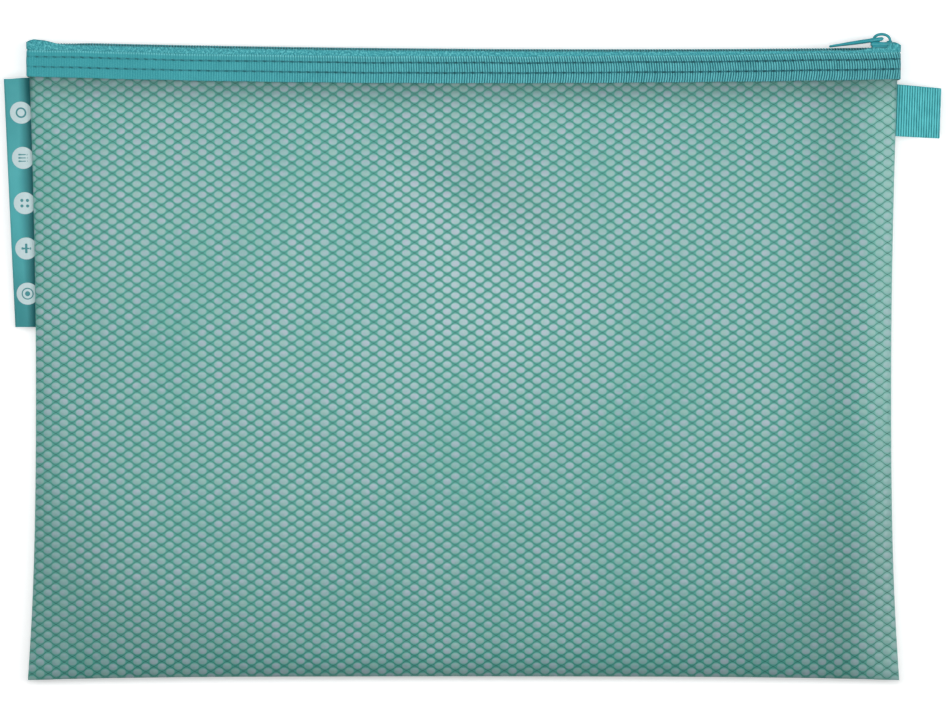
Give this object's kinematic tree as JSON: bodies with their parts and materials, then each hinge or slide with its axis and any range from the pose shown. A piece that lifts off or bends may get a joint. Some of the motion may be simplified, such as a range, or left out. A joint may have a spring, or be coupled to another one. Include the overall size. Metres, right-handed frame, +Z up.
{
  "type": "zipper pouch",
  "caption": "Flat document pouch in net-reinforced film, with a coil zipper, ribbon-bound lips, a webbing tab and a folded side label.",
  "frame": {"origin": "middle of the flat underside of the back panel, with the pouch lying on it", "axes": "+X along the zipper towards its closed end, +Y from the bottom seam to the zipper, +Z up through the front panel"},
  "size_m": [0.3708, 0.2552, 0.0135],
  "materials": {
    "laminate": "clear film over a teal net, soft gloss",
    "grosgrain": "ribbed ribbon",
    "zipper_tape": "woven tape",
    "coil_nylon": "spun nylon coil",
    "thread": "twisted sewing thread",
    "webbing": "ribbed flat webbing",
    "label_satin": "smooth satin, printed discs",
    "slider_enamel": "satin enamel"
  },
  "bodies": {
    "pouch": {"back_panel": "laminate", "back_ribbon": "grosgrain", "back_upper_topstitch": "thread", "back_lower_topstitch": "thread", "back_zipper_tape": "zipper_tape", "back_coil": "coil_nylon", "back_coil_core": "thread", "left_seam_thread": "thread", "right_seam_thread": "thread", "bottom_seam_thread": "thread"},
    "front": {"front_panel": "laminate", "front_ribbon": "grosgrain", "front_upper_topstitch": "thread", "front_lower_topstitch": "thread", "front_zipper_tape": "zipper_tape", "front_coil": "coil_nylon", "front_coil_core": "thread"},
    "slider": {"slider_body": "slider_enamel"},
    "pull": {"pull_tab": "slider_enamel"},
    "tab": {"webbing_tab": "webbing"},
    "label": {"label_strip": "label_satin"}
  },
  "joints": [
    {"name": "slider_slide", "type": "slide", "parent": "pouch", "child": "slider", "axis": [1, -0.0064, 0], "range_m": [-0.32, 0]},
    {"name": "mouth_gape", "type": "hinge", "parent": "pouch", "child": "front", "pos_m": [0, -0.125, 0.0032], "axis": [1, 0, 0], "range_deg": [0, 7]},
    {"name": "pull_swing", "type": "hinge", "parent": "slider", "child": "pull", "pos_m": [0.1653, 0.1277, 0.00632], "axis": [0, 0, -1], "range_deg": [0, 190]},
    {"name": "tab_flex", "type": "hinge", "parent": "pouch", "child": "tab", "pos_m": [0.17198, 0.1086, 0.00632], "axis": [-0.0291, -0.9996, 0], "range_deg": [-85, 85], "stiffness_Nm_per_rad": 0.005},
    {"name": "label_flex", "type": "hinge", "parent": "pouch", "child": "label", "pos_m": [-0.1704, 0.0136, 0.0043], "axis": [-0.0141, 0.9997, 0.0206], "range_deg": [-85, 85], "stiffness_Nm_per_rad": 0.004}
  ],
  "couplings": [
    {"joint": "mouth_gape", "follows": "slider_slide", "rad_per_m": -0.3817}
  ]
}
